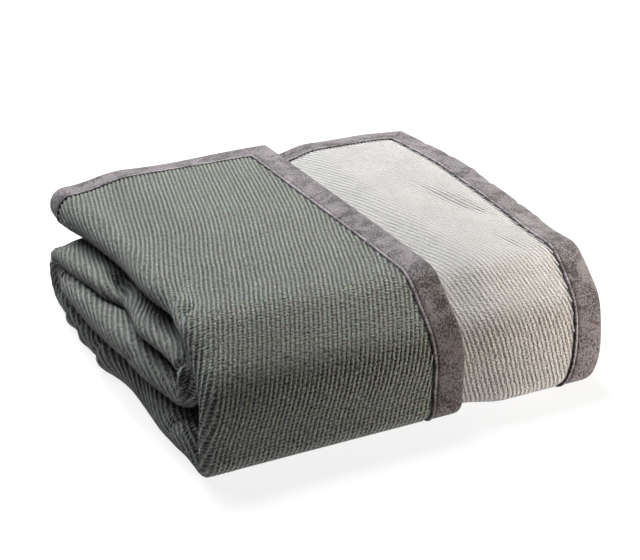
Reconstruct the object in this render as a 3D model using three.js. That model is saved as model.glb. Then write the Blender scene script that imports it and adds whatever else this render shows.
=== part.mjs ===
// Sofa throw, doubled down its length and rolled up from the front into a soft bundle.
// Millimetres, +Z up, +X along the width of the bundle, the rounded front towards -Y.
import * as THREE from "three";

// Cloth: a green face and a cream face, pressed thin where the binding grips them.
const PANEL_THICK = 3.55;
const PANEL_SPACE = 0.42;
const PRESSED_THICK = 1.85;

// Edge binding, folded over the edge of both faces
const BINDING_WIDTH = 36;
const BINDING_CLEAR = 0.47;
const BINDING_LIP = 1.7;
const BINDING_CHAMFER = 2;
const MITRE_SPACE = 0.4;
const PRESS_START = BINDING_WIDTH + 0.6;
const PRESS_END = BINDING_WIDTH + 6;
const CLOTH_HALF = PANEL_SPACE / 2 + PANEL_THICK;
const FLOOR_Z = CLOTH_HALF;

// Cross-section of the doubled strip
const FOLD_TAPER = 80;
const STEP_START = 6;
const STEP_LENGTH = 55;
const DROOP_REACH = 80;
const DROOP_EASE = 0.4;
const PULL_START = 60;

// Colours
const GREEN_COLOR = 0x7d8376;
const CREAM_COLOR = 0xcfc9bb;
const BINDING_COLOR = 0x857b7c;

// Corners of the roll as seen from its side, each rounded by the given radius.
// The line is the middle of the outer layer, from the outer end on top of the bundle
// down the front, along the floor, up the back and in to the hidden end.
const CORNERS = [
  { at: "outer end", y: 290, z: 129.8, round: 0 },
  { at: "front shoulder", y: -150, z: 133.2, round: 50 },
  { at: "front", y: -224, z: 84, round: 70 },
  { at: "front foot", y: -236, z: FLOOR_Z, round: 14 },
  { at: "back foot", y: 243, z: FLOOR_Z, round: 39 },
  { at: "back shoulder", y: 243, z: 85, round: 39 },
  { at: "inner turn top", y: -176, z: 94, round: 23 },
  { at: "inner turn foot", y: -176, z: 46, round: 23 },
  { at: "inner end", y: 178, z: 31, round: 0 },
];

// Cross-sections of the strip at lengths along it.
// fold: the left fold. round: its radius. drop: how far it sinks in from the outer layer.
// edge1, edge2: the two bound long edges. gap: from the outer layer to the inner one.
// step: depth of the single layer beyond edge1. droop: how far edge2 itself sinks in.
// pullY, pullZ: shift of the far right part.
const SECTIONS = [
  { at: "outer end", along: 0, fold: -228, round: 16, drop: 12.6, edge1: 62, edge2: 267,
    gap: 16, step: 5, droop: 9, pullY: 0, pullZ: 0 },
  { at: "top, slack fold", along: 140, fold: -219, round: 14, drop: 10, edge1: 62, edge2: 268,
    gap: 16, step: 5, droop: 8, pullY: 0, pullZ: 0 },
  { at: "top middle", along: 225, fold: -215, round: 12.5, drop: 7, edge1: 62, edge2: 266,
    gap: 16, step: 5, droop: 7, pullY: 0, pullZ: -1 },
  { at: "top front", along: 318, fold: -218, round: 11, drop: 4, edge1: 62, edge2: 262,
    gap: 16, step: 5, droop: 5, pullY: 0, pullZ: -4 },
  { at: "top pinch", along: 384, fold: -213, round: 9, drop: 4, edge1: 61, edge2: 258,
    gap: 16, step: 5, droop: 3, pullY: 3, pullZ: -8 },
  { at: "front shoulder", along: 436, fold: -222, round: 10, drop: 1, edge1: 60, edge2: 251,
    gap: 16, step: 5, droop: 0, pullY: 8, pullZ: -6 },
  { at: "front upper", along: 485, fold: -225, round: 10, drop: -3, edge1: 57, edge2: 242,
    gap: 15, step: 5, droop: 0, pullY: 9, pullZ: -3 },
  { at: "front middle", along: 535, fold: -231, round: 10, drop: -4, edge1: 54, edge2: 234,
    gap: 12, step: 3, droop: 0, pullY: 6, pullZ: 0 },
  { at: "front foot", along: 580, fold: -237, round: 6, drop: -1, edge1: 49, edge2: 222,
    gap: 8, step: 0, droop: 0, pullY: 0, pullZ: 0 },
  { at: "foot corner", along: 612, fold: -237, round: 5, drop: 0, edge1: 46, edge2: 210,
    gap: 8, step: 0, droop: 0, pullY: 0, pullZ: 0 },
  { at: "underside front", along: 645, fold: -242, round: 15.6, drop: 0, edge1: 45, edge2: 212,
    gap: 12, step: 0, droop: 0, pullY: 0, pullZ: 0 },
  { at: "underside", along: 700, fold: -247, round: 15.8, drop: 0, edge1: 44, edge2: 217,
    gap: 15, step: 0, droop: 0, pullY: 0, pullZ: 0 },
  { at: "underside middle", along: 780, fold: -245, round: 14.3, drop: 0, edge1: 46, edge2: 230,
    gap: 17, step: 0, droop: 0, pullY: 0, pullZ: 0 },
  { at: "underside bulge", along: 880, fold: -255, round: 11, drop: 0, edge1: 52, edge2: 246,
    gap: 17, step: 0, droop: 0, pullY: 0, pullZ: 0 },
  { at: "back foot", along: 1000, fold: -252, round: 7.5, drop: 0, edge1: 56, edge2: 256,
    gap: 15, step: 0, droop: 0, pullY: 0, pullZ: 0 },
  { at: "back", along: 1082, fold: -250, round: 8, drop: 2, edge1: 56, edge2: 256,
    gap: 16, step: 6, droop: 0, pullY: 0, pullZ: 0 },
  { at: "back shoulder", along: 1145, fold: -249, round: 9, drop: 9.3, edge1: 54, edge2: 252,
    gap: 16, step: 8, droop: 0, pullY: 0, pullZ: 0 },
  { at: "second layer back", along: 1200, fold: -248, round: 8.5, drop: 7.3, edge1: 54, edge2: 252,
    gap: 16, step: 8, droop: 0, pullY: 0, pullZ: 0 },
  { at: "second layer", along: 1280, fold: -241, round: 7.5, drop: 2, edge1: 54, edge2: 250,
    gap: 16, step: 8, droop: 0, pullY: 0, pullZ: 0 },
  { at: "second layer pinch", along: 1370, fold: -229, round: 6.5, drop: 0, edge1: 54, edge2: 246,
    gap: 16, step: 8, droop: 0, pullY: 0, pullZ: -2 },
  { at: "second layer front", along: 1430, fold: -238, round: 8, drop: -1, edge1: 54, edge2: 240,
    gap: 15, step: 8, droop: 0, pullY: 4, pullZ: -5 },
  { at: "inner turn top", along: 1510, fold: -231, round: 7.5, drop: 0, edge1: 53, edge2: 232,
    gap: 12, step: 5, droop: 0, pullY: 6, pullZ: -6 },
  { at: "inner turn foot", along: 1590, fold: -236, round: 9, drop: 2, edge1: 52, edge2: 228,
    gap: 12, step: 5, droop: 0, pullY: 6, pullZ: 0 },
  { at: "inner layer", along: 1670, fold: -249, round: 13, drop: 1, edge1: 52, edge2: 234,
    gap: 16, step: 8, droop: 0, pullY: 0, pullZ: 0 },
  { at: "inner layer bulge", along: 1770, fold: -257, round: 16, drop: 0, edge1: 52, edge2: 246,
    gap: 17, step: 8, droop: 0, pullY: 0, pullZ: 0 },
  { at: "inner layer back", along: 1870, fold: -256, round: 12.5, drop: 0, edge1: 52, edge2: 250,
    gap: 17, step: 8, droop: 0, pullY: 0, pullZ: 0 },
  { at: "inner end", along: 1932, fold: -224, round: 9, drop: 0, edge1: 52, edge2: 250,
    gap: 15, step: 8, droop: 0, pullY: 0, pullZ: 0 },
];

// Columns across the cloth: distances in from a bound edge, then shares of the way.
const EDGE_COLUMNS = [0, PRESS_START, PRESS_END];
const OUTER_SHARES = [0.4, 0.75];
const FOLD_STEPS = 8;
const INNER_SHARES = [0.15, 0.4, 0.7];
const STEP_ANGLE = Math.PI / 6;
const NEAREST_STATIONS = 14;

const QUARTER_TURN = Math.PI / 2;
const SMALL = 1e-3;

function lerp(a, b, share) {
  return a + (b - a) * share;
}

function clamp(value, low, high) {
  return Math.min(Math.max(value, low), high);
}

function smoothStep(value) {
  const q = clamp(value, 0, 1);
  return q * q * (3 - 2 * q);
}

// Soft start, then a straight slope to 1
function easeIn(value) {
  const eased = value < DROOP_EASE ? value ** 2 / (2 * DROOP_EASE) : value - DROOP_EASE / 2;
  return eased / (1 - DROOP_EASE / 2);
}

// The rolled line as straight runs and arcs, each with its start, heading and length.
function rollPieces() {
  const pieces = [];
  let along = 0;
  let from = new THREE.Vector2(CORNERS[0].y, CORNERS[0].z);
  const addPiece = (start, heading, length, bend) => {
    pieces.push({ along, start, heading, length, bend });
    along += length;
  };
  for (let i = 1; i < CORNERS.length; i += 1) {
    const corner = new THREE.Vector2(CORNERS[i].y, CORNERS[i].z);
    const run = corner.clone().sub(from);
    const heading = run.angle();
    if (i === CORNERS.length - 1) {
      addPiece(from, heading, run.length(), 0);
      break;
    }
    const next = new THREE.Vector2(CORNERS[i + 1].y, CORNERS[i + 1].z).sub(corner);
    const turned = next.angle() - heading;
    const turn = Math.atan2(Math.sin(turned), Math.cos(turned));
    const setBack = CORNERS[i].round * Math.tan(Math.abs(turn) / 2);
    addPiece(from, heading, run.length() - setBack, 0);
    const arcStart = corner.clone().addScaledVector(run.normalize(), -setBack);
    addPiece(arcStart, heading, CORNERS[i].round * Math.abs(turn), turn);
    from = corner.clone().addScaledVector(next.normalize(), setBack);
  }
  return pieces;
}

const PIECES = rollPieces();
const LAST_PIECE = PIECES[PIECES.length - 1];
const STRIP_LENGTH = LAST_PIECE.along + LAST_PIECE.length;

// Place and heading of the rolled line at a length along it; straight beyond its ends.
function rollAt(length) {
  let piece = PIECES[0];
  for (const candidate of PIECES) {
    if (length >= candidate.along) piece = candidate;
  }
  const travelled = length - piece.along;
  if (piece.bend === 0) {
    return {
      y: piece.start.x + travelled * Math.cos(piece.heading),
      z: piece.start.y + travelled * Math.sin(piece.heading),
      heading: piece.heading,
    };
  }
  const turned = (piece.bend * travelled) / piece.length;
  const radius = piece.length / piece.bend;
  const heading = piece.heading + turned;
  return {
    y: piece.start.x + radius * (Math.sin(heading) - Math.sin(piece.heading)),
    z: piece.start.y - radius * (Math.cos(heading) - Math.cos(piece.heading)),
    heading,
  };
}

// Slope of a table column at a row, flat at its peaks and hollows.
function columnSlope(name, i) {
  if (i <= 0 || i >= SECTIONS.length - 1) return 0;
  const before = SECTIONS[i].along - SECTIONS[i - 1].along;
  const after = SECTIONS[i + 1].along - SECTIONS[i].along;
  const rise1 = (SECTIONS[i][name] - SECTIONS[i - 1][name]) / before;
  const rise2 = (SECTIONS[i + 1][name] - SECTIONS[i][name]) / after;
  if (rise1 * rise2 <= 0) return 0;
  return (2 * rise1 * rise2) / (rise1 + rise2);
}

// Value of a table column at a length along the strip, on a smooth curve through the rows.
function columnAt(name, length) {
  let i = 0;
  while (i < SECTIONS.length - 2 && SECTIONS[i + 1].along <= length) i += 1;
  const span = SECTIONS[i + 1].along - SECTIONS[i].along;
  const f = clamp((length - SECTIONS[i].along) / span, 0, 1);
  const held = (2 * f - 3) * f * f + 1;
  const bend1 = f * (1 - f) * (1 - f) * span * columnSlope(name, i);
  const bend2 = f * f * (f - 1) * span * columnSlope(name, i + 1);
  return held * SECTIONS[i][name] + (1 - held) * SECTIONS[i + 1][name] + bend1 + bend2;
}

// Cross-section at a length along the strip, with its place and outward direction.
const sectionStore = new Map();
function sectionAt(length) {
  const key = length.toFixed(4);
  if (sectionStore.has(key)) return sectionStore.get(key);
  const roll = rollAt(length);
  const section = { y: roll.y, z: roll.z, outY: Math.sin(roll.heading), outZ: -Math.cos(roll.heading) };
  for (const name of Object.keys(SECTIONS[0])) {
    if (name !== "at" && name !== "along") section[name] = columnAt(name, length);
  }
  section.foldMid = section.fold + section.round;
  sectionStore.set(key, section);
  return section;
}

// Place across the cloth: 0 at edge1, 1 and 2 at the two sides of the left fold, 3 at edge2.
function acrossFromEdge1(section, distance) {
  return distance / (section.edge1 - section.foldMid);
}

function acrossFromEdge2(section, distance) {
  return 3 - distance / (section.edge2 - section.foldMid);
}

// Middle of the cloth at a length along the strip and a place across it.
function clothPoint(length, across) {
  const s = sectionAt(length);
  let x;
  let out;
  if (across > 1 && across < 2) {
    const angle = QUARTER_TURN + (across - 1) * Math.PI;
    x = s.foldMid + s.round * Math.cos(angle);
    out = s.round * (Math.sin(angle) - 1) - s.drop;
  } else {
    const outer = across <= 1;
    x = outer ? lerp(s.edge1, s.foldMid, across) : lerp(s.foldMid, s.edge2, across - 2);
    const fade = Math.cos(QUARTER_TURN * clamp((x - s.foldMid) / FOLD_TAPER, 0, 1)) ** 2;
    const beyond = smoothStep((x - s.edge1 - STEP_START) / STEP_LENGTH);
    const inner = lerp(-s.gap, -s.step, beyond);
    const nearEdge2 = clamp(1 - (s.edge2 - x) / DROOP_REACH, 0, 1.1);
    out = outer ? -s.drop * fade : lerp(inner, -s.drop - 2 * s.round, fade);
    if (!outer) out -= s.droop * easeIn(nearEdge2);
  }
  const pull = clamp((x - PULL_START) / (s.edge2 - PULL_START), 0, 1.1) ** 2;
  return new THREE.Vector3(x, s.y + out * s.outY + s.pullY * pull, s.z + out * s.outZ + s.pullZ * pull);
}

// Direction away from the cloth on its green side.
function greenSide(length, across) {
  const step = 0.004;
  const low = clamp(across, -0.5, 3.5) - step;
  const alongCloth = clothPoint(length + 1, across).sub(clothPoint(length - 1, across));
  const acrossCloth = clothPoint(length, low + 2 * step).sub(clothPoint(length, low));
  return acrossCloth.cross(alongCloth).normalize();
}

// Point off the middle of the cloth, towards the green side when the offset is positive.
function offCloth(length, across, offset) {
  const middle = clothPoint(length, across);
  const point = middle.clone().addScaledVector(greenSide(length, across), offset);
  point.middle = middle;
  return point;
}

// Stations along the strip: close together round the turns, at the table's rows between.
function stationLengths() {
  const wanted = [];
  for (const piece of PIECES) {
    const steps = Math.ceil(Math.abs(piece.bend) / STEP_ANGLE - SMALL);
    for (let k = 0; k <= steps && steps > 0; k += 1) wanted.push(piece.along + (piece.length * k) / steps);
  }
  for (const row of SECTIONS) {
    const crowded = wanted.some((length) => Math.abs(length - row.along) < 2 * NEAREST_STATIONS);
    if (!crowded) wanted.push(row.along);
  }
  wanted.sort((a, b) => a - b);
  const clear = PRESS_END + NEAREST_STATIONS;
  const middle = [];
  for (const length of wanted) {
    const previous = middle.length > 0 ? middle[middle.length - 1] : clear - NEAREST_STATIONS;
    const spaced = length - previous > NEAREST_STATIONS / 2;
    if (spaced && length > clear && length < STRIP_LENGTH - clear) middle.push(length);
  }
  const end = EDGE_COLUMNS.map((distance) => STRIP_LENGTH - distance).reverse();
  return [...EDGE_COLUMNS, ...middle, ...end];
}
const STATIONS = stationLengths();

// Places across the cloth at one station.
function acrossPlaces(length) {
  const s = sectionAt(length);
  const fromEdge1 = EDGE_COLUMNS.map((distance) => acrossFromEdge1(s, distance));
  const start = fromEdge1[fromEdge1.length - 1];
  const fromEdge2 = EDGE_COLUMNS.map((distance) => acrossFromEdge2(s, distance)).reverse();
  const end = fromEdge2[0];
  const fold = [];
  for (let k = 0; k <= FOLD_STEPS; k += 1) fold.push(1 + k / FOLD_STEPS);
  const outer = OUTER_SHARES.map((share) => lerp(start, 1, share));
  const inner = INNER_SHARES.map((share) => lerp(2, end, share));
  return [...fromEdge1, ...outer, ...fold, ...inner, ...fromEdge2];
}

// Thickness of one panel: pressed thin inside the binding, full beyond it.
function panelThick(length, fromLongEdge) {
  const inset = Math.min(length, STRIP_LENGTH - length, fromLongEdge);
  const ramp = clamp((inset - PRESS_START) / (PRESS_END - PRESS_START), 0, 1);
  return lerp(PRESSED_THICK, PANEL_THICK, ramp);
}

function distanceFromLongEdge(count, column) {
  const nearest = Math.min(column, count - 1 - column);
  return nearest < EDGE_COLUMNS.length ? EDGE_COLUMNS[nearest] : Infinity;
}

// Closed mesh from rings of points, each ring a closed outline, with flat ends.
// Each four-sided face is split along the shorter diagonal of the cloth's middle under it,
// so that nested layers split alike.
function meshFromRings(rings, endFaces, name, color) {
  const count = rings[0].length;
  const positions = [];
  for (const ring of rings) {
    for (const point of ring) positions.push(point.x, point.y, point.z);
  }
  const index = [];
  for (let r = 0; r < rings.length - 1; r += 1) {
    for (let k = 0; k < count; k += 1) {
      const next = (k + 1) % count;
      const a = r * count + k;
      const b = r * count + next;
      const rising = rings[r][k].middle.distanceTo(rings[r + 1][next].middle);
      const falling = rings[r][next].middle.distanceTo(rings[r + 1][k].middle);
      if (rising < falling - SMALL) index.push(a, b, b + count, a, b + count, a + count);
      else index.push(a, b, a + count, b, b + count, a + count);
    }
  }
  closeEnds(index, endFaces, (rings.length - 1) * count);
  return finishMesh(positions, index, name, color);
}

// End faces of the first and last ring, given as corners of the ring's outline.
function closeEnds(index, endFaces, lastBase) {
  const sameTurn = endFaces.some((face) => face[(face.indexOf(0) + 1) % 3] === 1 && face.includes(0));
  for (const face of endFaces) {
    const sameWay = sameTurn ? face : [...face].reverse();
    index.push(...[...sameWay].reverse());
    index.push(...sameWay.map((k) => k + lastBase));
  }
}

// Mesh with its faces turned outwards.
function finishMesh(positions, index, name, color) {
  const corner = (k) => new THREE.Vector3().fromArray(positions, 3 * index[k]);
  let volume = 0;
  for (let k = 0; k < index.length; k += 3) {
    volume += corner(k).dot(corner(k + 1).cross(corner(k + 2)));
  }
  const facing = [];
  for (let k = 0; k < index.length; k += 3) {
    const triangle = index.slice(k, k + 3);
    facing.push(...(volume > 0 ? triangle : triangle.reverse()));
  }
  const geometry = new THREE.BufferGeometry();
  geometry.setAttribute("position", new THREE.Float32BufferAttribute(positions, 3));
  geometry.setIndex(facing);
  geometry.computeVertexNormals();
  const material = new THREE.MeshStandardMaterial({ color, roughness: 0.95, metalness: 0 });
  const mesh = new THREE.Mesh(geometry, material);
  mesh.name = name;
  return mesh;
}

// One face of the cloth as a thin solid that follows every fold.
function panel(name, side, color) {
  const rings = STATIONS.map((length) => {
    const places = acrossPlaces(length);
    const near = [];
    const far = [];
    places.forEach((across, column) => {
      const thick = panelThick(length, distanceFromLongEdge(places.length, column));
      near.push(offCloth(length, across, (side * PANEL_SPACE) / 2));
      far.push(offCloth(length, across, side * (PANEL_SPACE / 2 + thick)));
    });
    return [...near, ...far.reverse()];
  });
  const last = rings[0].length - 1;
  const endFaces = [];
  for (let k = 0; 2 * k < last - 1; k += 1) {
    endFaces.push([k, k + 1, last - k - 1], [k, last - k - 1, last - k]);
  }
  return meshFromRings(rings, endFaces, name, color);
}

// Outline of the binding: distance in from the cloth's edge, and offset from its middle.
function bindingOutline() {
  const inside = PANEL_SPACE / 2 + PRESSED_THICK + BINDING_CLEAR;
  const round = CLOTH_HALF - BINDING_CHAMFER;
  return [
    { inset: BINDING_WIDTH, offset: CLOTH_HALF },
    { inset: BINDING_CHAMFER - BINDING_LIP, offset: CLOTH_HALF },
    { inset: -BINDING_LIP, offset: round },
    { inset: -BINDING_LIP, offset: -round },
    { inset: BINDING_CHAMFER - BINDING_LIP, offset: -CLOTH_HALF },
    { inset: BINDING_WIDTH, offset: -CLOTH_HALF },
    { inset: BINDING_WIDTH, offset: -inside },
    { inset: -BINDING_CLEAR, offset: -inside },
    { inset: -BINDING_CLEAR, offset: inside },
    { inset: BINDING_WIDTH, offset: inside },
  ];
}

function bindingMesh(rings, name) {
  const flat = bindingOutline().map((point) => new THREE.Vector2(point.inset, point.offset));
  return meshFromRings(rings, THREE.ShapeUtils.triangulateShape(flat, []), name, BINDING_COLOR);
}

// Binding folded over a long edge, mitred at both ends.
function longBinding(name, acrossFromEdge) {
  const ring = (lengthFor) => bindingOutline().map((point) => {
    const length = lengthFor(point.inset);
    return offCloth(length, acrossFromEdge(sectionAt(length), point.inset), point.offset);
  });
  const middle = STATIONS.filter((length) => length >= PRESS_END && length <= STRIP_LENGTH - PRESS_END);
  const rings = [
    ring((inset) => inset + MITRE_SPACE),
    ...middle.map((length) => ring(() => length)),
    ring((inset) => STRIP_LENGTH - inset - MITRE_SPACE),
  ];
  return bindingMesh(rings, name);
}

// Binding folded over an end of the strip, running round the left fold.
function endBinding(name, lengthFromEnd) {
  const ring = (acrossFor) => bindingOutline().map((point) => {
    const length = lengthFromEnd(point.inset);
    return offCloth(length, acrossFor(length, point.inset), point.offset);
  });
  const count = acrossPlaces(0).length;
  const skipped = EDGE_COLUMNS.length - 1;
  const rings = [ring((length, inset) => acrossFromEdge1(sectionAt(length), inset + MITRE_SPACE))];
  for (let column = skipped; column < count - skipped; column += 1) {
    rings.push(ring((length) => acrossPlaces(length)[column]));
  }
  rings.push(ring((length, inset) => acrossFromEdge2(sectionAt(length), inset + MITRE_SPACE)));
  return bindingMesh(rings, name);
}

const part = new THREE.Group();
part.name = "sofa_throw";
part.add(panel("green_panel", 1, GREEN_COLOR));
part.add(panel("cream_panel", -1, CREAM_COLOR));
part.add(longBinding("binding_long_flap", acrossFromEdge1));
part.add(longBinding("binding_long_outer", acrossFromEdge2));
part.add(endBinding("binding_end_top", (inset) => inset));
part.add(endBinding("binding_end_inner", (inset) => STRIP_LENGTH - inset));

// Stand the bundle on the origin: middle of its outline, underside at zero.
const outline = new THREE.Box3().setFromObject(part);
const middle = outline.getCenter(new THREE.Vector3());
for (const mesh of part.children) {
  mesh.geometry.translate(-middle.x, -middle.y, -outline.min.z);
}

export default part;
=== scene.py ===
import math

import bpy
import numpy as np
from bpy.props import FloatProperty, FloatVectorProperty, PointerProperty
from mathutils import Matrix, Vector
from mathutils.geometry import tessellate_polygon


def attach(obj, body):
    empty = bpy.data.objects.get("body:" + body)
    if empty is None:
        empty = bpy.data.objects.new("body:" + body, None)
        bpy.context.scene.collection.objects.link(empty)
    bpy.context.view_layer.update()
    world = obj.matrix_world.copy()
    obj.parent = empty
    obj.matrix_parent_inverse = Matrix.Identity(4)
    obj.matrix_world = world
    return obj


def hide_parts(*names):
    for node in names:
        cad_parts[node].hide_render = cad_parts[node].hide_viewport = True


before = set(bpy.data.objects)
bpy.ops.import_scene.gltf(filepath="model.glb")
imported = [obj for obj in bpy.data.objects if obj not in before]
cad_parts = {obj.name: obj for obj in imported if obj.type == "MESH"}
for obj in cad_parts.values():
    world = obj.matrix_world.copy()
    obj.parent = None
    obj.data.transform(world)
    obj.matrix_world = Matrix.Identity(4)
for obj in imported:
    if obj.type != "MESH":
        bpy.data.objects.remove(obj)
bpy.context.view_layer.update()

bl_info = {
    "name": "Sofa Throw",
    "version": (1, 0, 0),
    "blender": (4, 5, 0),
    "location": "3D View > Sidebar > Throw",
    "description": "Builds a double-faced ribbed throw with a plush binding, rolled into a bundle",
    "category": "Add Mesh",
}

# Millimetres in the tables and the cloth's functions; metres in the meshes
MM = 0.001

# Middle of the bundle's outline, in the frame of the roll's corners
CENTRE_Y = 26.889
CENTRE_X = 4.579

# The two faces of the cloth and the space between them
FACE_THICK = 3.55
FACE_SPACE = 0.42
PRESSED_THICK = 1.85
CLOTH_HALF = FACE_SPACE / 2 + FACE_THICK
FLOOR_Z = CLOTH_HALF

# Binding, and where it grips the cloth
BINDING_WIDTH = 36.0
BINDING_CLEAR = 0.47
BINDING_LIP = 2.2
PRESS_START = BINDING_WIDTH + 0.6
PRESS_END = BINDING_WIDTH + 6.0
MITRE_SPACE = 0.25
SEAM_INSET = 31.0

# Cross-section of the doubled strip; past its edge, each change runs on to the last share
FOLD_TAPER = 80.0
STEP_START = 6.0
STEP_LENGTH = 55.0
DROOP_REACH = 80.0
DROOP_EASE = 0.4
PULL_START = 60.0
PAST_EDGE = 1.1

# Corners of the roll seen from its side: name, y, z and the radius that rounds it
CORNERS = [
    ("outer end", 290, 129.8, 0),
    ("front shoulder", -150, 133.2, 50),
    ("front", -224, 84, 70),
    ("front foot", -236, FLOOR_Z, 14),
    ("back foot", 243, FLOOR_Z, 39),
    ("back shoulder", 243, 85, 39),
    ("inner turn top", -176, 94, 23),
    ("inner turn foot", -176, 46, 23),
    ("inner end", 178, 31, 0),
]

# Cross-sections of the strip at lengths along it.
# fold: the left fold. round: its radius. drop: how far it sinks in from the outer layer.
# edge1, edge2: the two bound long edges. gap: from the outer layer to the inner one.
# step: depth of the single layer beyond edge1. droop: how far edge2 itself sinks in.
# pull_y, pull_z: shift of the far right part.
SECTION_COLUMNS = (
    "along", "fold", "round", "drop", "edge1", "edge2", "gap", "step", "droop", "pull_y", "pull_z"
)
SECTIONS = [
    (0, -228, 16, 12.6, 62, 268, 16, 5, 6, 0, 0),  # outer end
    (140, -219, 14, 10, 62, 272, 16, 5, 4, 0, 0),  # top, slack fold
    (225, -215, 12.5, 7, 62, 268, 16, 5, 5, 0, -1),  # top middle
    (318, -218, 11, 4, 62, 262, 16, 5, 5, 0, -4),  # top front
    (384, -213, 9, 4, 61, 257, 16, 5, 3, 3, -9),  # top pinch
    (436, -222, 10, 1, 60, 252, 16, 5, 0, 7, -9),  # front shoulder
    (485, -225, 10, -3, 57, 245, 15, 5, 0, 7, -5),  # front upper
    (535, -231, 10, -4, 54, 234, 12, 3, 0, 6, 0),  # front middle
    (580, -237, 6, -1, 49, 222, 8, 0, 0, 0, 0),  # front foot
    (612, -237, 5, 0, 46, 210, 8, 0, 0, 0, 0),  # foot corner
    (645, -242, 15.6, 0, 45, 212, 12, 0, 0, 0, 0),  # underside front
    (700, -247, 15.8, 0, 44, 217, 15, 0, 0, 0, 0),  # underside
    (780, -245, 14.3, 0, 46, 230, 17, 0, 0, 0, 0),  # underside middle
    (880, -255, 11, 0, 52, 246, 17, 0, 0, 0, 0),  # underside bulge
    (1000, -252, 7.5, 0, 56, 256, 15, 0, 0, 0, 0),  # back foot
    (1082, -250, 8, 2, 56, 256, 16, 6, 0, 0, 0),  # back
    (1145, -249, 9, 9.3, 54, 252, 16, 8, 0, 0, 0),  # back shoulder
    (1200, -248, 8.5, 7.3, 54, 252, 16, 8, 0, 0, 0),  # second layer back
    (1280, -241, 7.5, 2, 54, 250, 16, 8, 0, 0, 0),  # second layer
    (1370, -229, 6.5, 0, 54, 246, 16, 8, 0, 0, -2),  # second layer pinch
    (1430, -238, 8, -1, 54, 240, 15, 8, 0, 4, -5),  # second layer front
    (1510, -231, 7.5, 0, 53, 232, 12, 5, 0, 6, -6),  # inner turn top
    (1590, -236, 9, 2, 52, 228, 12, 5, 0, 6, 0),  # inner turn foot
    (1670, -249, 13, 1, 52, 234, 16, 8, 0, 0, 0),  # inner layer
    (1770, -257, 16, 0, 52, 246, 17, 8, 0, 0, 0),  # inner layer bulge
    (1870, -256, 12.5, 0, 52, 250, 17, 8, 0, 0, 0),  # inner layer back
    (1932, -245, 9.5, 0, 52, 250, 15, 8, 0, 0, 0),  # inner end
]

# The knit runs off square: sideways shift of its ribs for each length of cloth, on the outer
# layer and the left fold, and past the bound flap on the inner layer
OUTER_SKEW = 0.315
INNER_SKEW = 0.20
SKEW_START = 75.0
SKEW_LENGTH = 190.0

# Where the left fold is pinched in, the ribs run straight on and so nearer to the fold
PINCH_AT = 382.0
PINCH_REACH = 34.0
PINCH_SHIFT = 7.0
PINCH_TURN = 40.0

# How far the ribs wander to each side, in slow waves and in quick ones of unlike lengths
SLOW_SWAY = 0.45
QUICK_SWAY = 0.2

# The inner end lies aslant: how far its left fold reaches beyond its two edges
END_REACH = 40.0
END_SLANT_LENGTH = 150.0
END_SLANT_WIDTH = 170.0

# Grid of the visual cloth: spacing along the strip, round the turns and across it
ALONG_SPACING = 4.6
TURN_ANGLE = math.radians(7)
ACROSS_SPACING = 7.5
FOLD_COLUMNS = 14
FOLD_REACH = 44.0
FOLD_SPACING = 2.9
EDGE_DISTANCES = (0.0, 18.0, PRESS_START, PRESS_END)
HIDDEN_STEP = 3

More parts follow.
